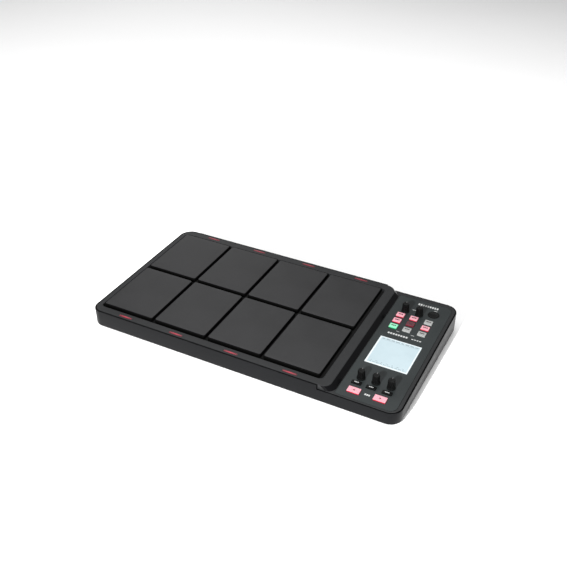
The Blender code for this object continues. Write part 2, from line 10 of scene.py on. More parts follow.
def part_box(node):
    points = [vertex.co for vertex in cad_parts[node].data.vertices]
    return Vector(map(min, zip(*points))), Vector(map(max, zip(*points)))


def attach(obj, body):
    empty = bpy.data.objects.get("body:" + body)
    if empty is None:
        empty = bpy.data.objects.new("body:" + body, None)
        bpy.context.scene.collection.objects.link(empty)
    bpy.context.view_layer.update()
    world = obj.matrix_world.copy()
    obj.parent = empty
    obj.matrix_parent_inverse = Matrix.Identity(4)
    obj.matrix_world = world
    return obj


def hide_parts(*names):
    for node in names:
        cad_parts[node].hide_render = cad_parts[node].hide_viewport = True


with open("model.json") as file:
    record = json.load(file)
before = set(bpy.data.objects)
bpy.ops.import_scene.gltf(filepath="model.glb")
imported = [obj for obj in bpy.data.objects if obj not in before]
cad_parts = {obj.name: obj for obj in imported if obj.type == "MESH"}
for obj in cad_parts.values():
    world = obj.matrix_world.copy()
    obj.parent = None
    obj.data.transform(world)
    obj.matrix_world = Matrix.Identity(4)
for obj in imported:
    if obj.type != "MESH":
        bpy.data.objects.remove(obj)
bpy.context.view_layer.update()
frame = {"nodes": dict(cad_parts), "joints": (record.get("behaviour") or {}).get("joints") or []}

# ---------------------------------------------------------------- driving dimensions, in millimetres
# Most pieces are laid out in the CAD model's deck frame: X to the right, Y to the back and Z square
# to the playing surface, with Z = 0 at the bottom edge of the front wall.
MM = 0.001
strike = next(j for j in frame["joints"] if j["name"] == "pad_1_strike")
TILT = math.atan2(strike["axis"][1], -strike["axis"][2])
HALF_WIDTH = 265.0
DEPTH = 285.0
BACK = DEPTH / 2
FOOT_HEIGHT = 3.0
Y_SHIFT = 0.134
DECK = (Matrix.Translation(Vector((0.0, Y_SHIFT, FOOT_HEIGHT + DEPTH / 2 * math.sin(TILT))) * MM)
        @ Matrix.Rotation(TILT, 4, "X"))

# Case and cover: the case's rim steps down at CASE_STEP_X, from the rim's height to the deck's
CORNERS = (18.0, 20.0, 20.0, 22.0)
CORNER_SEGMENTS = 16
CORNER_POINTS = CORNER_SEGMENTS + 1
WALL = 2.6
CASE_FLOOR = 2.5
CASE_EDGE_R = 3.0
LIP = 0.7
LIP_DROP = 0.7
LEDGE_GAP = 0.3
COVER_INSET = 2.3
SKIRT_INSET = 3.0
SKIRT_UNDER = 18.7
RIM_TOP = 30.2
RIM_R = 1.2
LID_UNDER = 28.9
DECK_TOP = 22.5
DECK_SEAM = 20.7
STEP_X = 152.5
CASE_STEP_X = 140.0
CASE_STEP_RUN = 0.3

# Raised frame round the pads: its right edge is a slope, the flank, down to the deck
FLANK_FOOT = 164.8
FLANK_TOP = 158.0
FLANK_THICK = 0.7
FILLET = 0.5
WELL_WALL = 2.0
WELL_WALL_UNDER = 22.3
PLATE_POCKET = (147.0, 157.0, -130.0, 128.0)
PLATE_POCKET_TOP = 28.2

# Sockets in the back wall
JACK_X = (-150.0, -126.0, -102.0, -78.0)
MIDI_X = (-40.0, -14.0)
USB_X = 20.0
INLET_X = 222.0
SOCKET_Z = 8.0
INLET_Z = 2.0
HOLE_DEPTH = 8.0

# Pads and light bars
PAD_R = 3.0
PAD_CROWN = 0.35
PAD_DRAWN_IN = (0.6, 1.8)
LIGHT_X = (-200.0, -104.5, -6.0, 93.5)
LIGHT_HALF = (11.7, 1.5)
LIGHT_R = 0.6

# Controls
CAP_GAP = 0.4
CAP_R = 0.8
CAP_ROUND = 0.5
CAP_DISH = 0.12
FLANGE = 1.0
FLANGE_THICK = 0.8
KNOB_BASE = 23.1
KNOB_HOLE_R = 4.7
MARK_THICK = 0.06
KNOB_NODES = ("volume_knob", "phones_knob", "control_knob_1", "control_knob_2", "control_knob_3")
GRID_NODES = tuple(f"grid_button_{i}" for i in range(1, 10))
MENU_NODES = tuple(f"menu_button_{i}" for i in range(1, 4))
STEP_NODES = ("step_button_left", "step_button_right")


def deck_box(node):
    """(lowest, highest) corner of a CAD node in the deck frame, in millimetres."""
    to_deck = DECK.inverted()
    points = [to_deck @ v.co for v in frame["nodes"][node].data.vertices]
    low = Vector([min(p[i] for p in points) for i in range(3)]) / MM
    high = Vector([max(p[i] for p in points) for i in range(3)]) / MM
    return low, high


def middle(node):
    """(middle, half size) of a CAD node in the deck frame."""
    low, high = deck_box(node)
    return (low + high) / 2, (high - low) / 2


def bottom(y):
    """Height of the level underside below the tilted deck frame."""
    return -math.tan(TILT) * (y + DEPTH / 2)


low, high = deck_box("pad_foam")
WELL = (low.x - 0.5, high.x + 0.5, low.y - 0.5, high.y + 0.5)


# ---------------------------------------------------------------- outlines, in millimetres

def box_outline(x0, x1, y0, y1, radii=0.0, segments=12):
    """A rectangle, anticlockwise from its front-left corner, with one radius or four."""
    if not isinstance(radii, tuple):
        radii = (radii,) * 4
    corners = ((x0, y0, 1, 1, 180), (x1, y0, -1, 1, 270), (x1, y1, -1, -1, 0), (x0, y1, 1, -1, 90))
    points = []
    for (x, y, sx, sy, start), r in zip(corners, radii):
        if r <= 0:
            points.append((x, y))
            continue
        for i in range(segments + 1):
            angle = math.radians(start + 90.0 * i / segments)
            points.append((x + sx * r + r * math.cos(angle), y + sy * r + r * math.sin(angle)))
    return points


def rect_at(centre, half, radius, grow=0.0, segments=6):
    """A rounded rectangle round a centre, grown outwards by grow."""
    x, y = centre[0], centre[1]
    a, b = half[0] + grow, half[1] + grow
    return box_outline(x - a, x + a, y - b, y + b, max(radius + grow, 0.05), segments)


def circle(centre, r, count=48):
    return [(centre[0] + r * math.cos(2 * math.pi * i / count),
             centre[1] + r * math.sin(2 * math.pi * i / count)) for i in range(count)]


def level(outline, z):
    return [(x, y, z) for x, y in outline]


def rounded(r, steps=6):
    """(inset, drop) pairs of a quarter round, from the side wall up to the flat top."""
    return [(r * (1 - math.cos(math.pi / 2 * i / steps)), r * (1 - math.sin(math.pi / 2 * i / steps)))
            for i in range(steps + 1)]


# ---------------------------------------------------------------- solids

class Solid:
    """A closed body in deck millimetres, which make() turns into an object in metres."""

    def __init__(self):
        self.bm = bmesh.new()

    def rings(self, rings):
        """A skin over rings of equal length, closed at both ends."""
        rows = [[self.bm.verts.new(point) for point in ring] for ring in rings]
        for low, high in zip(rows, rows[1:]):
            for i in range(len(low)):
                j = (i + 1) % len(low)
                self.bm.faces.new((low[i], low[j], high[j], high[i]))
        self.bm.faces.new(list(reversed(rows[0])))
        self.bm.faces.new(rows[-1])
        return self

    def prism(self, outline, z0, z1):
        return self.rings([level(outline, z0), level(outline, z1)])

    def box(self, x0, x1, y0, y1, z0, z1):
        return self.prism(box_outline(x0, x1, y0, y1), z0, z1)

    def plate(self, outline, holes, z0, z1):
        """A flat plate with holes through it."""
        loops = [outline] + [list(reversed(hole)) for hole in holes]
        triangles = tessellate_polygon([[Vector((x, y, 0)) for x, y in loop] for loop in loops])
        low, high = [], []
        for loop in loops:
            lower = [self.bm.verts.new((x, y, z0)) for x, y in loop]
            upper = [self.bm.verts.new((x, y, z1)) for x, y in loop]
            for i in range(len(loop)):
                j = (i + 1) % len(loop)
                self.bm.faces.new((lower[i], lower[j], upper[j], upper[i]))
            low += lower
            high += upper
        for a, b, c in triangles:
            self.bm.faces.new((high[a], high[b], high[c]))
            self.bm.faces.new((low[c], low[b], low[a]))
        return self

    def turned(self, centre, profile, count=48):
        """A round body from (radius, height) pairs, closed at both ends."""
        return self.rings([level(circle(centre, r, count), z) for r, z in profile])

    def along_y(self, cx, cz, stages, outline):
        """Rings along Y: stages are (y, scale)."""
        return self.rings([[(cx + u * s, y, cz + v * s) for u, v in outline] for y, s in stages])

    def make(self, name, origin=(0.0, 0.0, 0.0), sharp=35.0, matrix=DECK):
        bmesh.ops.recalc_face_normals(self.bm, faces=self.bm.faces)
        self.bm.transform(Matrix.Scale(MM, 4) @ Matrix.Translation(-Vector(origin)))
        mesh = bpy.data.meshes.new(name)
        self.bm.to_mesh(mesh)
        self.bm.free()
        obj = bpy.data.objects.new(name, mesh)
        bpy.context.scene.collection.objects.link(obj)
        obj.matrix_world = matrix @ Matrix.Translation(Vector(origin) * MM)
        mesh.shade_smooth()
        mesh.set_sharp_from_angle(angle=math.radians(sharp))
        return obj


def hoop(rows):
    """A closed ring skinned round a loop of rows; the last row joins the first."""
    solid = Solid()
    loops = [[solid.bm.verts.new(point) for point in row] for row in rows]
    for a, b in zip(loops, loops[1:] + loops[:1]):
        for i in range(len(a)):
            j = (i + 1) % len(a)
            solid.bm.faces.new((a[i], a[j], b[j], b[i]))
    return solid


def carve(obj, steps):
    """Applies the Boolean steps to obj's mesh and removes the cutters."""
    for cutter, operation, solver in steps:
        modifier = obj.modifiers.new("cut", "BOOLEAN")
        modifier.operation = operation
        modifier.solver = solver
        modifier.object = cutter
    bpy.context.view_layer.update()
    graph = bpy.context.evaluated_depsgraph_get()
    mesh = bpy.data.meshes.new_from_object(obj.evaluated_get(graph))
    obj.modifiers.clear()
    obj.data = mesh
    for cutter, _, _ in steps:
        bpy.data.objects.remove(cutter)
    mesh.shade_smooth()
    mesh.set_sharp_from_angle(angle=math.radians(35.0))
    return obj


def soften(obj, width, angle=50.0):
    """Bevels the edges sharper than the angle."""
    modifier = obj.modifiers.new("edges", "BEVEL")
    modifier.width = width * MM
    modifier.segments = 2
    modifier.limit_method = "ANGLE"
    modifier.angle_limit = math.radians(angle)
    modifier.harden_normals = False
    return obj


def weigh(obj):
    """Flat faces keep flat shading next to small rounded edges."""
    modifier = obj.modifiers.new("normals", "WEIGHTED_NORMAL")
    modifier.keep_sharp = True
    modifier.weight = 80
    return obj


def dress(obj, mat, body="body", nodes=()):
    """Gives a piece its material and body, and hides the CAD nodes it stands for."""
    obj.data.materials.clear()
    obj.data.materials.append(mat)
    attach(obj, body)
    if nodes:
        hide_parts(*nodes)
    return obj


# ---------------------------------------------------------------- materials

class Nodes:
    """A new material, with short calls for the nodes it is built from."""

    def __init__(self, name):
        self.mat = bpy.data.materials.new(name)
        self.mat.use_nodes = True
        self.tree = self.mat.node_tree
        self.shader = self.tree.nodes["Principled BSDF"]
        self.coords = self.tree.nodes.new("ShaderNodeTexCoord").outputs["Object"]

    def link(self, a, b):
        self.tree.links.new(a, b)

    def noise(self, scale, detail=3.0, rough=0.5):
        node = self.tree.nodes.new("ShaderNodeTexNoise")
        node.inputs["Scale"].default_value = scale
        node.inputs["Detail"].default_value = detail
        node.inputs["Roughness"].default_value = rough
        self.link(self.coords, node.inputs["Vector"])
        return node.outputs["Fac"]

    def remap(self, value, a, b, c, d):
        """Takes the range a to b to the range c to d."""
        node = self.tree.nodes.new("ShaderNodeMapRange")
        for key, number in zip(("From Min", "From Max", "To Min", "To Max"), (a, b, c, d)):
            node.inputs[key].default_value = number
        self.link(value, node.inputs["Value"])
        return node.outputs["Result"]

    def maths(self, operation, a, b):
        node = self.tree.nodes.new("ShaderNodeMath")
        node.operation = operation
        for socket, value in zip(node.inputs, (a, b)):
            if isinstance(value, (int, float)):
                socket.default_value = value
            else:
                self.link(value, socket)
        return node.outputs["Value"]

    def mix(self, factor, a, b):
        node = self.tree.nodes.new("ShaderNodeMix")
        node.data_type = "RGBA"
        self.link(factor, node.inputs[0])
        for socket, value in ((node.inputs[6], a), (node.inputs[7], b)):
            if isinstance(value, (tuple, list)):
                socket.default_value = (*value, 1.0)
            else:
                self.link(value, socket)
        return node.outputs[2]

    def bump(self, height, strength, distance):
        node = self.tree.nodes.new("ShaderNodeBump")
        node.inputs["Strength"].default_value = strength
        node.inputs["Distance"].default_value = distance
        self.link(height, node.inputs["Height"])
        return node.outputs["Normal"]

    def edges(self, radius):
        """About 1 on rounded-over outer edges and 0 on flats."""
        bevel = self.tree.nodes.new("ShaderNodeBevel")
        bevel.samples = 4
        bevel.inputs["Radius"].default_value = radius
        geometry = self.tree.nodes.new("ShaderNodeNewGeometry")
        dot = self.tree.nodes.new("ShaderNodeVectorMath")
        dot.operation = "DOT_PRODUCT"
        self.link(bevel.outputs["Normal"], dot.inputs[0])
        self.link(geometry.outputs["Normal"], dot.inputs[1])
        return self.remap(dot.outputs["Value"], 0.99, 0.86, 0.0, 1.0)

    def axis(self, letter):
        node = self.tree.nodes.new("ShaderNodeSeparateXYZ")
        self.link(self.coords, node.inputs[0])
        return node.outputs[letter]

    def set(self, key, value):
        self.shader.inputs[key].default_value = value

    def feed(self, key, value):
        self.link(value, self.shader.inputs[key])


def surface(name, colour, rough, metallic=0.0, grain=1400.0, depth=0.00004, vary=0.08, edge_wear_and_highlight=0.0,
            specular=0.5, coat=0.0, tint=0.12):
    """A moulded or sheet surface: fine grain, patchy gloss, faint tone changes, and outer edges painted
    lighter, partly as wear and partly as painted highlight.
    """
    n = Nodes(name)
    broad = n.noise(14.0, 4.0, 0.55)
    fine = n.noise(grain, 2.0, 0.6)
    dark = tuple(c * (1 - tint) for c in colour)
    light = tuple(min(1.0, c * (1 + tint)) for c in colour)
    shade = n.mix(n.remap(broad, 0.35, 0.65, 0.0, 1.0), dark, light)
    gloss = n.maths("ADD", n.maths("MULTIPLY", broad, 0.6), n.maths("MULTIPLY", fine, 0.4))
    roughness = n.remap(gloss, 0.3, 0.7, max(rough - vary, 0.03), min(rough + vary, 1.0))
    # outer edges are painted lighter in patches: partly rubbed wear, partly a painted highlight along the
    # edges
    if edge_wear_and_highlight > 0:
        edge_wear_and_highlight_mask = n.maths("MULTIPLY", n.edges(0.0008), n.remap(n.noise(90.0, 4.0), 0.42, 0.62, 0.1, edge_wear_and_highlight))
        shade = n.mix(edge_wear_and_highlight_mask, shade, tuple(min(1.0, c * 1.9 + 0.02) for c in colour))
    n.feed("Base Color", shade)
    n.feed("Roughness", roughness)
    n.feed("Normal", n.bump(fine, 0.35, depth))
    n.set("Metallic", metallic)
    n.set("Specular IOR Level", specular)
    n.set("Coat Weight", coat)
    return n.mat


def lit_cap(name, top, side, strength, side_strength):
    """Translucent key cap: a pale lit face, and deeper colour down its sides where light leaks."""
    n = Nodes(name)
    height = n.remap(n.axis("Z"), -0.0009, -0.0001, 0.0, 1.0)
    cloud = n.remap(n.noise(160.0, 3.0), 0.3, 0.7, 0.86, 1.06)
    fine = n.noise(2200.0, 2.0)
    n.feed("Base Color", n.mix(height, side, top))
    n.feed("Emission Color", n.mix(height, side, top))
    glow = n.remap(height, 0.0, 1.0, side_strength, strength)
    n.feed("Emission Strength", n.maths("MULTIPLY", cloud, glow))
    n.feed("Roughness", n.remap(fine, 0.3, 0.7, 0.32, 0.46))
    n.feed("Normal", n.bump(fine, 0.2, 0.00003))
    n.set("Subsurface Weight", 0.15)
    n.set("Subsurface Scale", 0.002)
    return n.mat


def light_bar(name, glow, hot_glow):
    """Red light window: a brighter middle that fades to deep red at its ends."""
    n = Nodes(name)
    along = n.maths("ABSOLUTE", n.axis("X"), 0.0)
    across = n.maths("ABSOLUTE", n.axis("Y"), 0.0)
    hot = n.maths("MULTIPLY", n.remap(along, 0.001, 0.0115, 1.0, 0.0),
                  n.remap(across, 0.0002, 0.0015, 1.0, 0.3))
    streak = n.remap(n.noise(260.0, 3.0), 0.3, 0.7, 0.8, 1.1)
    n.feed("Base Color", n.mix(hot, (0.055, 0.006, 0.010), (0.15, 0.014, 0.022)))
    n.feed("Emission Color", n.mix(hot, (0.80, 0.02, 0.07), (1.0, 0.05, 0.11)))
    n.feed("Emission Strength", n.maths("MULTIPLY", streak, n.remap(hot, 0.0, 1.0, glow, hot_glow)))
    n.feed("Roughness", n.remap(n.noise(900.0), 0.3, 0.7, 0.22, 0.36))
    return n.mat


LOOK = {
    # the case is painted about four times darker than the cover plastic, as painted shade on its walls
    "case": surface("case_plastic", (0.0030, 0.0032, 0.0037), 0.38, edge_wear_and_highlight=0.8, specular=0.10),
    "cover": surface("cover_plastic", (0.0120, 0.0124, 0.0130), 0.38, edge_wear_and_highlight=0.8, specular=0.18),
    # near-black, low-specular skin on the flank: painted shade where the flank lies in shadow
    "flank": surface("flank_painted_shade", (0.0025, 0.0025, 0.0028), 0.16, specular=0.08, grain=2600.0,
                     depth=0.000004, vary=0.03),
    "panel": surface("panel_plastic", (0.0150, 0.0178, 0.0182), 0.34, edge_wear_and_highlight=0.25, specular=0.20,
                     grain=2200.0, depth=0.00002),
    "pad": surface("pad_rubber", (0.0125, 0.0125, 0.0131), 0.40, specular=0.24, grain=1900.0, depth=0.00005,
                   vary=0.06),
    # near-black, nearly unreflective copy of the pad rubber: painted shade for pad sides and the seam
    "painted_shade_black": surface("painted_shade_black", (0.0012, 0.0012, 0.0012), 0.7, grain=1900.0, specular=0.04),
    "foam": surface("foam_rubber", (0.003, 0.003, 0.003), 0.92, grain=700.0, depth=0.0002, specular=0.2),
    "steel": surface("plate_steel", (0.52, 0.53, 0.54), 0.36, 1.0, grain=500.0, depth=0.00001),
    "nickel": surface("nickel_sheet", (0.62, 0.62, 0.60), 0.28, 1.0, grain=800.0, depth=0.00001, edge_wear_and_highlight=0.2),
    "film": surface("sensor_film", (0.55, 0.33, 0.10), 0.28, coat=0.4, depth=0.00001),
    "knob": surface("knob_black", (0.0022, 0.0024, 0.0024), 0.42, edge_wear_and_highlight=0.1, grain=2600.0, specular=0.14),
    "black": surface("cap_black", (0.0020, 0.0022, 0.0022), 0.34, edge_wear_and_highlight=0.1, grain=2600.0, depth=0.00002,
                     specular=0.12),
    "grey": surface("cap_grey", (0.21, 0.215, 0.21), 0.38, grain=2400.0, depth=0.00002, tint=0.05),
    "board": surface("board_green", (0.012, 0.11, 0.045), 0.34, coat=0.3, grain=300.0, depth=0.00002),
    "silicone": surface("key_silicone", (0.26, 0.27, 0.28), 0.55, grain=900.0),
    "socket": surface("socket_black", (0.010, 0.010, 0.011), 0.42, edge_wear_and_highlight=0.3),
    "foot": surface("foot_rubber", (0.013, 0.013, 0.013), 0.82, grain=900.0, depth=0.00008),
    "screw": surface("screw_steel", (0.06, 0.06, 0.065), 0.34, 1.0, edge_wear_and_highlight=0.5, grain=900.0, depth=0.00001),
    "ink_white": surface("ink_white", (0.34, 0.345, 0.34), 0.5, grain=3000.0, depth=0.00001, tint=0.05),
    "ink_grey": surface("ink_grey", (0.10, 0.10, 0.10), 0.5, grain=3000.0, depth=0.00001, tint=0.05),
    "ink_dark": surface("ink_dark", (0.022, 0.010, 0.012), 0.5, grain=3000.0, depth=0.00001),
    "pink": lit_cap("cap_pink", (0.44, 0.200, 0.235), (0.33, 0.012, 0.03), 0.12, 0.14),
    "red": lit_cap("cap_red", (0.062, 0.009, 0.015), (0.10, 0.004, 0.012), 0.06, 0.12),
    "green": lit_cap("cap_green", (0.155, 0.42, 0.27), (0.012, 0.23, 0.09), 0.14, 0.22),
    "bar": light_bar("light_red", 0.06, 0.24),
    "bar_dim": light_bar("light_red_dim", 0.03, 0.07),
}


# ---------------------------------------------------------------- case

def plan(inset):
    """The whole instrument's outline from above, drawn in by the inset."""
    return box_outline(-HALF_WIDTH + inset, HALF_WIDTH - inset, -BACK + inset, BACK - inset,
                       tuple(r - inset for r in CORNERS), CORNER_SEGMENTS)


def case_plan(inset):
    """The same outline, with a pair of points on each long side where the rim steps down."""
    full, half_d = plan(inset), BACK - inset
    front = [(CASE_STEP_X - CASE_STEP_RUN, -half_d), (CASE_STEP_X, -half_d)]
    back = [(CASE_STEP_X, half_d), (CASE_STEP_X - CASE_STEP_RUN, half_d)]
    return (full[:CORNER_POINTS] + front + full[CORNER_POINTS:3 * CORNER_POINTS] + back
            + full[3 * CORNER_POINTS:])


def before_step(x):
    """True under the high rim round the raised frame."""
    return x < CASE_STEP_X - CASE_STEP_RUN / 2


def ledge(x):
    """Height of the ledge inside the lip, which the near-black band of painted seam shadow lies on."""
    return (LID_UNDER if before_step(x) else DECK_SEAM) - LEDGE_GAP


def lip(x, drop):
    """Height on the lip round the cover, down from the lip's top by the drop."""
    return (RIM_TOP if before_step(x) else DECK_TOP) - LIP_DROP - drop


def round_hole(cut, x, z, r, flare, count):
    """A hole through the back wall, flared where it comes out."""
    stages = ((BACK - HOLE_DEPTH, r), (BACK - 0.5, r), (BACK + 0.4, r + flare))
    cut.along_y(x, z, stages, circle((0, 0), 1.0, count))


def build_case():
    """The case: rounded bottom edge, outer wall, lip, ledge and floor, with holes for the sockets."""
    rings = []
    for i in range(7):
        a = math.pi / 2 * i / 6
        inset, rise = CASE_EDGE_R * (1 - math.sin(a)), CASE_EDGE_R * (1 - math.cos(a))
        rings.append([(x, y, bottom(y) + rise) for x, y in case_plan(inset)])
    rounded_lip = ((0.0, 0.55), (0.06, 0.26), (0.22, 0.08), (0.45, 0.0), (LIP - 0.12, 0.0), (LIP, 0.12))
    for inset, drop in rounded_lip:
        rings.append([(x, y, lip(x, drop)) for x, y in case_plan(inset)])
    for inset in (LIP, WALL):
        rings.append([(x, y, ledge(x)) for x, y in case_plan(inset)])
    rings.append([(x, y, bottom(y) + CASE_FLOOR) for x, y in case_plan(WALL)])
    case = Solid().rings(rings).make("case_shell")

    cut = Solid()
    for x in JACK_X:
        round_hole(cut, x, SOCKET_Z, 5.2, 1.0, 40)
    for x in MIDI_X:
        round_hole(cut, x, SOCKET_Z, 8.2, 1.0, 56)
    cut.along_y(USB_X, SOCKET_Z, ((BACK - HOLE_DEPTH, 1.0), (BACK - 0.4, 1.0), (BACK + 0.4, 1.12)),
                box_outline(-6.8, 6.8, -6.3, 6.3, 0.8, 4))
    round_hole(cut, INLET_X, INLET_Z, 6.2, 0.9, 40)
    for i in range(1, 5):
        mid, _ = middle(f"case_screw_{i}")
        floor_z = bottom(mid.y)
        cut.turned(mid, ((4.2, floor_z - 2.0), (3.9, floor_z + 0.2), (3.5, floor_z + 0.5),
                         (3.5, floor_z + 2.2)), 32)
    carve(case, [(cut.make("case_cut"), "DIFFERENCE", "MANIFOLD")])
    case.data.transform(case.matrix_world)
    case.matrix_world = Matrix.Identity(4)
    return case


def frame_plan(inset, right):
    """Outline of the raised frame round the pads; its right edge is the flank of the step."""
    i = COVER_INSET + 0.2 + inset
    return box_outline(-HALF_WIDTH + i, right - inset, -BACK + i, BACK - i,
                       (CORNERS[0] - i, 13.0 - inset, 18.0 - inset, CORNERS[3] - i), CORNER_SEGMENTS)


def build_flank():
    """A near-black skin on the step's sloping flank and round its two corners, painted dark as the flank's
    shade.
    """
    foot, brow = FLANK_FOOT + 0.35, FLANK_TOP - 0.1
    steps = 8
    rows = []
    for k in range(steps + 1):
        share = k / steps
        outline = frame_plan(0.0, foot + share * (brow - foot))
        z = DECK_TOP + 0.12 + share * (RIM_TOP - 1.05 - DECK_TOP)
        rows.append(level(outline[CORNER_POINTS:3 * CORNER_POINTS], z))
    solid = Solid()
    outer, inner = ([[solid.bm.verts.new((x - depth, y, z)) for x, y, z in row] for row in rows]
                    for depth in (0.0, FLANK_THICK))
    last = len(rows[0]) - 1
    for a, b, c, d in zip(outer, outer[1:], inner, inner[1:]):
        for i in range(last):
            solid.bm.faces.new((a[i], a[i + 1], b[i + 1], b[i]))
            solid.bm.faces.new((d[i], d[i + 1], c[i + 1], c[i]))
        solid.bm.faces.new((a[0], b[0], d[0], c[0]))
        solid.bm.faces.new((b[last], a[last], c[last], d[last]))
    for i in range(last):
        solid.bm.faces.new((outer[0][i + 1], outer[0][i], inner[0][i], inner[0][i + 1]))
        solid.bm.faces.new((outer[-1][i], outer[-1][i + 1], inner[-1][i + 1], inner[-1][i]))
    return solid.make("flank_skin")


def build_cover():
    """The deck and the raised frame in one shell, with the openings for what stands in it."""
    rings = [level(plan(SKIRT_INSET), SKIRT_UNDER), level(plan(SKIRT_INSET), DECK_SEAM),
             level(plan(COVER_INSET), DECK_SEAM)]
    rings += [level(plan(COVER_INSET + inset), DECK_TOP - drop) for inset, drop in rounded(0.45, 4)]
    cover = Solid().rings(rings).make("cover_shell")

    raised = [level(frame_plan(0.0, FLANK_FOOT), DECK_TOP - 1.2)]
    for k in range(5):
        a = math.pi / 2 * k / 4
        out, rise = FILLET * (1 - math.sin(a)), FILLET * (1 - math.cos(a))
        raised.append(level(frame_plan(0.0, FLANK_FOOT - 0.7 * FILLET + out), DECK_TOP - 0.1 + rise))
    for inset, drop in rounded(RIM_R, 7):
        raised.append(level(frame_plan(inset * 0.9, FLANK_TOP - 0.4 * (RIM_R - drop)), RIM_TOP - drop))
    frame_part = Solid().rings(raised).make("frame_part")

    shoulder, inner_y = CASE_STEP_X + 0.4, BACK - WALL - 2.0
    under = [(-300.0, -200.0), (shoulder, -200.0), (shoulder, -inner_y), (STEP_X, -inner_y),
             (STEP_X, inner_y), (shoulder, inner_y), (shoulder, 200.0), (-300.0, 200.0)]
    hollow = Solid().prism(under, 0.0, LID_UNDER).make("hollow")
    x0, x1, y0, y1 = WELL
    round_well = box_outline(x0 - WELL_WALL, x1 + WELL_WALL, y0 - WELL_WALL, y1 + WELL_WALL, 6.0, 8)
    walls = Solid().prism(round_well, WELL_WALL_UNDER, LID_UNDER + 0.6).make("walls")

    def well(grow, z):
        return level(box_outline(x0 + 0.9 - grow, x1 + grow, y0 - grow, y1 + grow, 7.0 + grow, 10), z)

    cut = Solid()
    cut.rings([well(0, 10), well(0, RIM_TOP - 0.8), well(0.1, RIM_TOP - 0.45), well(0.35, RIM_TOP - 0.15),
               well(0.8, RIM_TOP), well(1.4, RIM_TOP + 0.2)])
    cut.box(*PLATE_POCKET, 10.0, PLATE_POCKET_TOP)
    for node in ("light_guide_front", "light_guide_back"):
        mid, _ = middle(node)
        for x in LIGHT_X:
            cut.rings([level(rect_at((x, mid.y), LIGHT_HALF, LIGHT_R, grow), z)
                       for grow, z in ((0.3, 26.0), (0.3, RIM_TOP - 0.3), (0.7, RIM_TOP + 0.1))])
    low, high = deck_box("control_panel")
    for_panel = ((0.0, DECK_TOP - 1.1), (0.0, DECK_TOP - 0.25), (0.1, DECK_TOP - 0.1), (0.3, DECK_TOP + 0.05))
    cut.rings([level(box_outline(low.x - 0.5 - g, high.x + 0.5 + g, low.y - 0.5 - g, high.y + 0.5 + g,
                                 (2.0 + g, 12.0 + g, 12.0 + g, 4.0 + g), 12), z) for g, z in for_panel])
    through = Solid()
    a, b = deck_box("display_window")
    through.box(a.x - 3, b.x + 3, a.y - 3, b.y + 3, 10, 30)
    a, _ = deck_box("grid_button_7")
    _, b = deck_box("grid_button_3")
    through.box(a.x - 1.5, b.x + 1.5, a.y - 1.7, b.y + 0.9, 10, 30)
    a, _ = deck_box("step_button_left")
    _, b = deck_box("menu_button_3")
    through.box(a.x - 2.5, b.x + 2, a.y - 1.6, b.y + 1.6, 10, 30)
    mid, half = middle("power_button")
    through.prism(circle(mid, half.x + 0.6), 10, 30)
    for node in KNOB_NODES:
        through.prism(circle(middle(node)[0], KNOB_HOLE_R, 24), 10, 30)
    return carve(cover, [(frame_part, "UNION", "EXACT"), (hollow, "DIFFERENCE", "EXACT"),
                         (walls, "UNION", "EXACT"), (cut.make("cut"), "DIFFERENCE", "EXACT"),
                         (through.make("through"), "DIFFERENCE", "EXACT")])


def build_seam_shadow():
    """A near-black band that paints the shadow in the seam: it lies on the ledge and stands against the
    cover, to just under the lip.
    """
    outside, inside, face = LIP + 0.02, WALL + 0.1, COVER_INSET - 0.15
    section = ((outside, 0.02), (inside, 0.02), (inside, 0.95), (face, 0.95), (face, 0.25), (outside, 0.25))
    return hoop([[(x, y, ledge(x) + share * (lip(x, 0.0) - ledge(x))) for x, y in case_plan(inset)]
                 for inset, share in section])


dress(build_case(), LOOK["case"], nodes=("lower_case",))
dress(weigh(build_cover()), LOOK["cover"], nodes=("top_cover",))
dress(build_flank(), LOOK["flank"])
# near-black band in the seam gap: painted shadow along the seam line
dress(build_seam_shadow().make("seam_painted_shadow"), LOOK["painted_shade_black"])


# ---------------------------------------------------------------- pads

def build_pad(node):
    """A slightly crowned playing face, on a body whose sides are painted near-black as shade, so the grooves
    stay dark.
    """
    mid, half = middle(node)
    low, high = mid - half, mid + half
    lid, brow = high.z - 0.9, high.z - PAD_CROWN
    face = Vector((half.x - PAD_DRAWN_IN[0], half.y - PAD_DRAWN_IN[1], half.z))

    def ring(size, grow, z):
        return level(rect_at(mid, size, PAD_R, grow, 10), z)

    rings = [ring(face, -0.5, lid), ring(face, -0.12, lid), ring(face, 0.0, lid + 0.1)]
    rings += [ring(face, -inset, brow - drop) for inset, drop in rounded(0.42, 6)]
    for inset, rise in ((5.0, 0.10), (10.0, 0.19), (18.0, 0.27), (28.0, 0.33), (40.0, PAD_CROWN)):
        a, b = face.x - inset, face.y - inset
        crown = box_outline(mid.x - a, mid.x + a, mid.y - b, mid.y + b, max(PAD_R - inset, 0.4), 10)
        rings.append(level(crown, brow + rise))
    pad = Solid().rings(rings).make(node + "_skin", (mid.x, mid.y, high.z), sharp=40)
    dress(pad, LOOK["pad"], node, (node,))
    # the pad's sides take the near-black painted shade instead of the pad rubber
    side = Solid().rings([ring(half, -0.6, low.z), ring(half, -0.1, low.z + 0.5), ring(half, -0.1, lid - 1.0),
                          ring(face, 0.1, lid - 0.02)])
    dress(side.make(node + "_side", (mid.x, mid.y, high.z), sharp=40), LOOK["painted_shade_black"], node)


for i in range(1, 9):
    build_pad(f"pad_{i}")

# ---------------------------------------------------------------- light windows

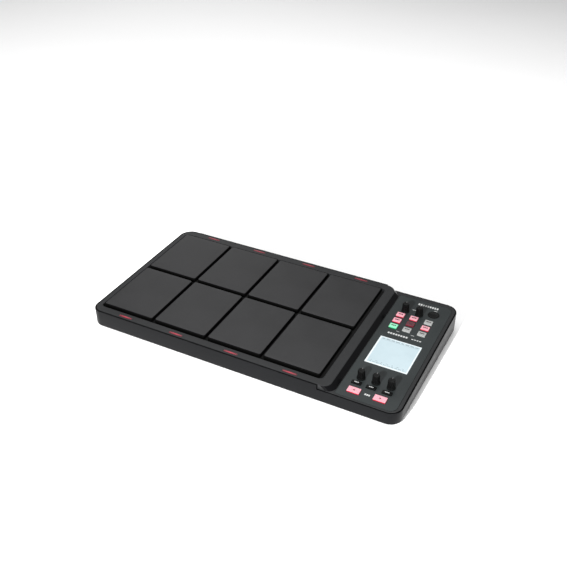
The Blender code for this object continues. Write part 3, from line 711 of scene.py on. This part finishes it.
for node, look in (("light_guide_front", "bar"), ("light_guide_back", "bar_dim")):
    mid, half = middle(node)
    strip = Solid()
    strip.box(mid.x - half.x, mid.x + half.x, mid.y - 2.9, mid.y + 2.9, 27.2, 28.6)
    dress(soften(strip.make(node + "_strip"), 0.4), LOOK[look], nodes=(node,))
    for k, x in enumerate(LIGHT_X):
        rings = [level(rect_at((x, mid.y), LIGHT_HALF, LIGHT_R), 28.7)]
        rings += [level(rect_at((x, mid.y), LIGHT_HALF, LIGHT_R, -inset), RIM_TOP + 0.25 - drop)
                  for inset, drop in rounded(0.4, 4)]
        piece = Solid().rings(rings).make(f"{node}_window_{k + 1}", (x, mid.y, RIM_TOP), sharp=50)
        dress(piece, LOOK[look])

# ---------------------------------------------------------------- control panel

def cap_half(node):
    """(middle, half size) of a key cap without its flange."""
    mid, half = middle(node)
    return mid, Vector((half.x - FLANGE, half.y - FLANGE, half.z))


def build_panel():
    """The thin sheet on the deck, cut out round the display, caps and knobs."""
    low, high = deck_box("control_panel")
    outline = box_outline(low.x, high.x - 0.45, low.y, high.y - 0.45, (1.5, 11.5, 11.5, 3.5), 12)
    a, b = deck_box("display_window")
    holes = [box_outline(a.x - 0.3, b.x + 0.3, a.y - 0.3, b.y + 0.3, 0.6, 3)]
    for node in GRID_NODES + MENU_NODES + STEP_NODES:
        mid, half = cap_half(node)
        holes.append(rect_at(mid, half, CAP_R, CAP_GAP, 4))
    mid, half = cap_half("power_button")
    holes.append(circle(mid, half.x + CAP_GAP, 48))
    for node in KNOB_NODES:
        holes.append(circle(middle(node)[0], KNOB_HOLE_R, 24))
    return Solid().plate(outline, holes, low.z, high.z).make("panel_sheet")


dress(weigh(soften(build_panel(), 0.16, 60)), LOOK["panel"], nodes=("control_panel",))


def build_cap(node, mat):
    """A key cap with a flange at its foot and a shallow dish on top; returns its middle and top."""
    mid, half = cap_half(node)
    low, high = mid - half, mid + half

    def ring(grow, z):
        return level(rect_at(mid, half, CAP_R, grow, 5), z)

    rings = [ring(FLANGE, low.z), ring(FLANGE, low.z + FLANGE_THICK), ring(0.0, low.z + FLANGE_THICK)]
    rings += [ring(-inset, high.z - drop) for inset, drop in rounded(CAP_ROUND, 5)]
    for share in (0.7, 0.45, 0.2):
        z = high.z - CAP_DISH * (1 - share ** 2)
        rings.append([(mid.x + (x - mid.x) * share, mid.y + (y - mid.y) * share, z)
                      for x, y, _ in ring(-CAP_ROUND, z)])
    cap = Solid().rings(rings).make(node + "_cap", (mid.x, mid.y, high.z), sharp=50)
    dress(cap, mat, node, (node,))
    return mid, high.z - CAP_DISH


def mark(name, outline, z, body, mat):
    """A thin printed mark that moves with a cap."""
    piece = Solid().prism(outline, z, z + MARK_THICK).make(name)
    dress(piece, mat, body)


def bar_outline(cx, cy, w, h):
    return box_outline(cx - w / 2, cx + w / 2, cy - h / 2, cy + h / 2)


grid_looks = ("pink", "pink", "grey", "pink", "red", "pink", "green", "grey", "grey")
for node, look in zip(GRID_NODES, grid_looks):
    mid, top = build_cap(node, LOOK[look])
    for k, (dx, w) in enumerate(((-2.75, 2.2), (-0.1, 2.3), (2.65, 2.2))):
        bar = bar_outline(mid.x + dx, mid.y + 1.0, w, 2.4)
        mark(f"{node}_mark_{k + 1}", bar, top + 0.02, node, LOOK["ink_dark"])
for node in MENU_NODES:
    mid, top = build_cap(node, LOOK["black"])
    for k, (dx, w) in enumerate(((-2.4, 1.8), (0.0, 2.0), (2.5, 1.6))):
        bar = bar_outline(mid.x + dx, mid.y + 0.4, w, 1.5)
        mark(f"{node}_mark_{k + 1}", bar, top + 0.02, node, LOOK["ink_white"])
for node, sign in zip(STEP_NODES, (-1, 1)):
    mid, top = build_cap(node, LOOK["pink"])
    upper = ((1.8, 0.0), (-1.4, 2.1), (-1.6, 1.1))
    lower = ((-0.1, 0.0), (-1.6, -1.1), (-1.4, -2.1))
    arrow = [(mid.x + sign * dx, mid.y + dy) for dx, dy in upper + lower]
    mark(f"{node}_mark", arrow, top + 0.02, node, LOOK["ink_dark"])


def build_power_button():
    """A dished round key with a raised rim, in a low ring on the panel."""
    mid, half = cap_half("power_button")
    low, high, r = mid - half, mid + half, half.x
    profile = [(r + FLANGE, low.z), (r + FLANGE, low.z + FLANGE_THICK), (r, low.z + FLANGE_THICK)]
    profile += [(r - inset, high.z - drop) for inset, drop in rounded(0.6, 5)]
    profile += [(r - 1.4, high.z), (r - 2.0, high.z - 0.25), (r - 2.6, high.z - 0.5),
                (r - 4.5, high.z - 0.68), (1.0, high.z - 0.75)]
    cap = Solid().turned(mid, profile, 64).make("power_button_cap", (mid.x, mid.y, high.z))
    dress(cap, LOOK["black"], "power_button", ("power_button",))
    foot = DECK_TOP + 0.02
    section = ((r + 0.5, foot), (r + 1.5, foot), (r + 1.5, foot + 0.1), (r + 1.3, foot + 0.2),
               (r + 0.7, foot + 0.2), (r + 0.5, foot + 0.1))
    ring = hoop([level(circle(mid, radius, 64), z) for radius, z in section])
    dress(ring.make("power_button_ring"), LOOK["black"])


build_power_button()

# ---------------------------------------------------------------- knobs

def build_knob(node):
    """A knob with a plain skirt, scooped grips round its waist and a pointer on top."""
    mid, half = middle(node)
    base, bottom_z, top, r = KNOB_BASE, mid.z - half.z, mid.z + half.z, half.x
    grips, count = 18, 144

    def star(radius, depth):
        ring = []
        for i in range(count):
            a = 2 * math.pi * i / count
            cut = depth * (0.5 - 0.5 * math.cos(a * grips)) ** 1.6
            ring.append((mid.x + (radius - cut) * math.cos(a), mid.y + (radius - cut) * math.sin(a)))
        return ring

    stages = [(3.0, 0, bottom_z), (3.0, 0, base), (r - 0.4, 0, base), (r, 0, base + 0.3), (r, 0, base + 1.2),
              (r - 0.25, 0, base + 1.6), (r - 0.7, 0.1, base + 1.9), (r - 0.8, 0.42, base + 2.6),
              (r - 1.15, 0.42, top - 2.0), (r - 1.25, 0.34, top - 1.2), (r - 1.5, 0.16, top - 0.6),
              (r - 1.9, 0.0, top - 0.2), (r - 2.4, 0, top), (r - 3.0, 0, top), (r - 3.5, 0, top - 0.18),
              (1.0, 0, top - 0.22)]
    rings = [level(star(radius, depth), z) for radius, depth, z in stages]
    knob = Solid().rings(rings).make(node + "_body", (mid.x, mid.y, base), sharp=60)
    dress(knob, LOOK["knob"], node, (node,))
    line = Solid().prism(bar_outline(mid.x, mid.y + r - 3.1, 0.7, 2.4), top - 0.05, top + 0.04)
    dress(line.make(node + "_pointer"), LOOK["ink_grey"], node)


for node in KNOB_NODES:
    build_knob(node)

# ---------------------------------------------------------------- display

def screen_material():
    """A lit pale screen with faint clouding."""
    n = Nodes("display_screen")
    cloud = n.remap(n.noise(30.0, 2.0), 0.3, 0.7, 0.0, 1.0)
    n.feed("Base Color", n.mix(cloud, (0.10, 0.125, 0.135), (0.11, 0.135, 0.145)))
    n.feed("Emission Color", n.mix(cloud, (0.46, 0.56, 0.60), (0.49, 0.59, 0.63)))
    n.feed("Emission Strength", n.remap(n.noise(55.0, 3.0), 0.3, 0.7, 0.90, 0.96))
    n.feed("Roughness", n.remap(n.noise(1200.0), 0.3, 0.7, 0.16, 0.26))
    n.set("Specular IOR Level", 0.3)
    return n.mat


LOOK["screen"] = screen_material()
LOOK["screen_ink"] = surface("screen_ink", (0.17, 0.205, 0.22), 0.35, grain=2500.0, depth=0.00001)
LOOK["screen_edge"] = surface("screen_edge", (0.46, 0.49, 0.50), 0.35, grain=2500.0, depth=0.00001, tint=0.03)


def build_display():
    """The window, a paler border inside it, and plain blocks in place of a page of text."""
    low, high = deck_box("display_window")
    window = Solid().box(low.x, high.x, low.y, high.y, low.z, high.z)
    dress(soften(window.make("display_lens"), 0.25), LOOK["screen"],
          nodes=("display_window",))
    z = high.z + 0.01
    outer = box_outline(low.x + 0.3, high.x - 0.3, low.y + 0.3, high.y - 0.3, 0.4, 3)
    inner = box_outline(low.x + 2.4, high.x - 1.8, low.y + 2.4, high.y - 1.6, 0.4, 3)
    border = Solid().plate(outer, [inner], z, z + 0.05)
    dress(border.make("display_border"), LOOK["screen_edge"])
    blocks = [bar_outline((low.x + high.x) / 2, high.y - 7.4, 60.0, 0.35)]
    for k, w in enumerate((4.4, 6.0, 5.2, 6.4, 4.0, 6.2, 5.6, 5.0)):
        blocks.append(bar_outline(low.x + 6.8 + k * 7.7, high.y - 4.7, w, 2.0))
    for k in range(10):
        blocks.append(bar_outline(low.x + 7.0 + k * 5.9, low.y + 5.2, 3.6 + (k % 3) * 0.6, 1.2))
    for k in range(7):
        blocks.append(bar_outline(low.x + 8.0 + k * 8.4, low.y + 8.4, 2.2 + (k % 2) * 1.4, 0.9))
    lines = Solid()
    for outline in blocks:
        lines.prism(outline, z, z + 0.04)
    dress(lines.make("display_lines"), LOOK["screen_ink"])


build_display()

# ---------------------------------------------------------------- printed marks on the panel

def build_prints():
    """Rows of plain bars: (middle of the first, step along X, number, size)."""
    volume, power = middle("volume_knob")[0], middle("power_button")[0]
    rows = (
        ((203.0, 122.0), 3.9, 9, (2.6, 4.6)),
        ((185.0, 28.3), 4.2, 8, (3.0, 3.6)),
        ((224.0, 28.3), 4.2, 4, (3.0, 1.9)),
        ((volume.x + 11.8, volume.y + 9.5), 0.0, 1, (5.0, 1.0)),
        ((power.x, power.y + 11.3), 0.0, 1, (5.0, 1.0)),
        ((197.0, 37.0), 24.0, 2, (5.5, 0.8)),
        ((206.5, -120.6), 2.9, 3, (2.2, 3.2)),
    )
    prints = Solid()
    for (x, y), step, number, (w, h) in rows:
        for k in range(number):
            prints.prism(bar_outline(x + step * k, y, w, h), DECK_TOP + 0.01, DECK_TOP + 0.05)
    return prints.make("panel_prints")


dress(build_prints(), LOOK["ink_white"])

# ---------------------------------------------------------------- rubber feet

def build_foot(i):
    """A round foot with a hollow in its sole; it stands square to the floor, not to the deck."""
    low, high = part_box(f"rubber_foot_{i}")
    x, y = (low.x + high.x) / 2 / MM, (low.y + high.y) / 2 / MM
    profile = ((3.0, 0.7), (3.4, 0.25), (4.2, 0.0), (8.4, 0.0), (9.3, 0.25), (9.8, 0.9), (10.0, 1.8),
               (10.0, 2.7))
    return Solid().turned((x, y), profile).make(f"rubber_foot_{i}_body", (x, y, 0), matrix=Matrix.Identity(4))


for i in range(1, 5):
    dress(build_foot(i), LOOK["foot"], nodes=(f"rubber_foot_{i}",))

# ---------------------------------------------------------------- CAD pieces that stay

kept = {
    "pad_plate": "steel", "pad_foam": "foam", "sensor_sheet": "film", "key_mat": "silicone",
    "volume_pot": "nickel", "phones_pot": "nickel", "encoder_1": "nickel", "encoder_2": "nickel",
    "encoder_3": "nickel", "display_module": "nickel", "panel_board": "board", "main_board": "board",
    "jack_board": "board", "phone_jacks": "socket", "midi_sockets": "socket", "usb_port": "nickel",
    "dc_inlet": "socket", "case_screw_1": "screw", "case_screw_2": "screw", "case_screw_3": "screw",
    "case_screw_4": "screw",
}
for node, key in kept.items():
    obj = frame["nodes"][node]
    obj.data.materials.clear()
    obj.data.materials.append(LOOK[key])

# ---------------------------------------------------------------- floor, light and camera

floor_mesh = bpy.data.meshes.new("floor")
FLOOR_HALF = 6.0
corners = [(sx * FLOOR_HALF, sy * FLOOR_HALF, 0.0) for sx, sy in ((-1, -1), (1, -1), (1, 1), (-1, 1))]
floor_mesh.from_pydata(corners, [], [(0, 1, 2, 3)])
floor = bpy.data.objects.new("floor", floor_mesh)
bpy.context.scene.collection.objects.link(floor)
paper = Nodes("floor_paper")
paper.feed("Base Color", paper.mix(paper.noise(3.0), (0.90, 0.90, 0.90), (0.92, 0.92, 0.92)))
paper.feed("Roughness", paper.remap(paper.noise(40.0), 0.3, 0.7, 0.75, 0.85))
paper.set("Specular IOR Level", 0.1)
floor_mesh.materials.append(paper.mat)

scene = bpy.context.scene
world = bpy.data.worlds.new("studio")
scene.world = world
world.use_nodes = True
world.node_tree.nodes["Background"].inputs["Color"].default_value = (1.0, 1.0, 1.0, 1.0)
world.node_tree.nodes["Background"].inputs["Strength"].default_value = 0.36
scene.view_settings.view_transform = "Standard"


def area_light(name, at, target, size, power):
    """A square light at a place, turned to its target."""
    light = bpy.data.lights.new(name, "AREA")
    light.energy = power
    light.size = size
    obj = bpy.data.objects.new(name, light)
    scene.collection.objects.link(obj)
    obj.location = at
    obj.rotation_euler = (Vector(target) - Vector(at)).to_track_quat("-Z", "Y").to_euler()
    return obj


area_light("overhead_light", (0.0, 0.1, 2.2), (0, 0.05, 0), 3.4, 64.0)
key = area_light("key_light", (0.10, -1.75, 0.92), (0.1, 0, 0), 0.08, 92.0)
key.visible_glossy = False
area_light("back_light", (-1.7, 2.3, 1.2), (-0.15, 0.1, 0), 1.1, 3.6)

# the camera is level with the deck frame, which is how its direction and place are given
AZIMUTH, ELEVATION = math.radians(27.129), math.radians(34.285)
back = Vector((math.sin(AZIMUTH) * math.cos(ELEVATION), -math.cos(AZIMUTH) * math.cos(ELEVATION),
               math.sin(ELEVATION)))
right = Vector((math.cos(AZIMUTH), math.sin(AZIMUTH), 0.0))
up = back.cross(right)
place = Vector((480.99, -902.02, 776.00)) * MM
view = Matrix(((right.x, up.x, back.x, place.x), (right.y, up.y, back.y, place.y),
               (right.z, up.z, back.z, place.z), (0, 0, 0, 1)))
camera_data = bpy.data.cameras.new("camera")
camera_data.sensor_width = 36.0
camera_data.lens = 49.36
camera_data.shift_x = -0.0049
camera_data.shift_y = -0.0039
camera_data.clip_start = 0.05
camera = bpy.data.objects.new("camera", camera_data)
scene.collection.objects.link(camera)
camera.matrix_world = DECK @ view
scene.camera = camera
